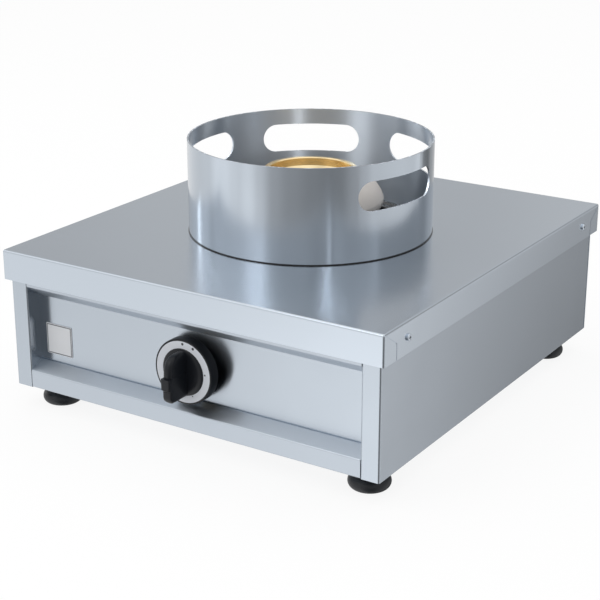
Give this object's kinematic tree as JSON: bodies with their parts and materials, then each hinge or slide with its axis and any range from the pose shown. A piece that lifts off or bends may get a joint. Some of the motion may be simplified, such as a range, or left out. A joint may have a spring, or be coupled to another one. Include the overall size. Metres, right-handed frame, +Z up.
{
  "type": "wok range",
  "caption": "Table-top gas wok range: square steel housing on short feet, slotted steel wok ring round a brass-crowned burner, and one front knob.",
  "frame": {"origin": "on the floor, under the middle of the overall width and length", "axes": "+Z up, the control panel and knob face -Y, +X to the right seen from the front"},
  "size_m": [0.5048, 0.598, 0.3028],
  "materials": {
    "plate_steel": "brushed stainless sheet",
    "housing_steel": "brushed stainless sheet",
    "ring_steel": "rolled stainless strip, grain round the ring",
    "fastener_steel": "plated",
    "cast_grey": "pale sand casting",
    "crown_brass": "turned brass",
    "fitting_brass": "machined brass",
    "pipe_steel": "drawn tube",
    "pilot_copper": "drawn copper",
    "black_enamel": "fired enamel",
    "knob_black": "moulded, satin",
    "dial_white": "printed ring",
    "badge_white": "bare plate",
    "foot_black": "moulded"
  },
  "bodies": {
    "housing": {"apron_screws": "fastener_steel", "apron_spacers": "fastener_steel", "badge_plate": "badge_white", "bottom_plate": "housing_steel", "burner_body": "cast_grey", "burner_bolts": "fastener_steel", "burner_bracket": "housing_steel", "clamp_screws": "fastener_steel", "control_panel": "housing_steel", "feed_nuts": "fitting_brass", "feed_pipe": "pipe_steel", "foot_nuts": "fastener_steel", "front_lower_rail": "housing_steel", "front_upper_rail": "housing_steel", "gas_inlet": "fitting_brass", "gas_rail": "pipe_steel", "gas_tap_body": "fitting_brass", "injector": "fitting_brass", "injector_holder": "fitting_brass", "inlet_locknut": "fitting_brass", "left_side": "housing_steel", "mixing_tube": "pipe_steel", "pilot_bracket": "housing_steel", "pilot_burner": "pipe_steel", "pilot_tube": "pilot_copper", "plate_stiffeners": "housing_steel", "rail_clamp": "fastener_steel", "rail_plug": "fitting_brass", "rear_panel": "housing_steel", "rear_screws": "fastener_steel", "right_side": "housing_steel", "thermocouple": "pipe_steel", "thermocouple_lead": "pilot_copper", "top_plate": "plate_steel"},
    "wok_ring": {"wok_ring": "ring_steel"},
    "drip_tray": {"drip_tray": "black_enamel"},
    "burner_cap": {"burner_cap": "crown_brass"},
    "tap_push": {"tap_collar": "fastener_steel"},
    "knob": {"knob": "knob_black", "dial_ring": "dial_white", "tap_spindle": "fastener_steel"},
    "tap_plug": {"tap_plug": "fitting_brass"},
    "air_shutter": {"air_shutter": "pipe_steel"},
    "foot_front_left": {"foot_pad_front_left": "foot_black", "foot_stud_front_left": "fastener_steel"},
    "foot_front_right": {"foot_pad_front_right": "foot_black", "foot_stud_front_right": "fastener_steel"},
    "foot_rear_left": {"foot_pad_rear_left": "foot_black", "foot_stud_rear_left": "fastener_steel"},
    "foot_rear_right": {"foot_pad_rear_right": "foot_black", "foot_stud_rear_right": "fastener_steel"}
  },
  "joints": [
    {"name": "ring_lift", "type": "slide", "parent": "drip_tray", "child": "wok_ring", "axis": [0, 0, 1], "range_m": [0, 0.15]},
    {"name": "tray_lift", "type": "slide", "parent": "housing", "child": "drip_tray", "axis": [0, 0, 1], "range_m": [0, 0.14]},
    {"name": "crown_lift", "type": "slide", "parent": "housing", "child": "burner_cap", "axis": [0, 0, 1], "range_m": [0, 0.08]},
    {"name": "knob_push", "type": "slide", "parent": "housing", "child": "tap_push", "axis": [0, 1, 0], "range_m": [0, 0.004], "stiffness_N_per_m": 1200, "springref_m": -0.001},
    {"name": "knob_turn", "type": "hinge", "parent": "tap_push", "child": "knob", "pos_m": [0, -0.266, 0.096], "axis": [0, -1, 0], "range_deg": [0, 155]},
    {"name": "plug_turn", "type": "hinge", "parent": "housing", "child": "tap_plug", "pos_m": [0, -0.266, 0.096], "axis": [0, -1, 0], "range_deg": [0, 155]},
    {"name": "shutter_slide", "type": "slide", "parent": "housing", "child": "air_shutter", "axis": [0, 1, 0], "range_m": [0, 0.01]},
    {"name": "foot_front_left_screw", "type": "slide", "parent": "housing", "child": "foot_front_left", "axis": [0, 0, -1], "range_m": [0, 0.01]},
    {"name": "foot_front_right_screw", "type": "slide", "parent": "housing", "child": "foot_front_right", "axis": [0, 0, -1], "range_m": [0, 0.01]},
    {"name": "foot_rear_left_screw", "type": "slide", "parent": "housing", "child": "foot_rear_left", "axis": [0, 0, -1], "range_m": [0, 0.01]},
    {"name": "foot_rear_right_screw", "type": "slide", "parent": "housing", "child": "foot_rear_right", "axis": [0, 0, -1], "range_m": [0, 0.01]}
  ],
  "couplings": [
    {"joint": "plug_turn", "follows": "knob_turn", "ratio": 1}
  ]
}
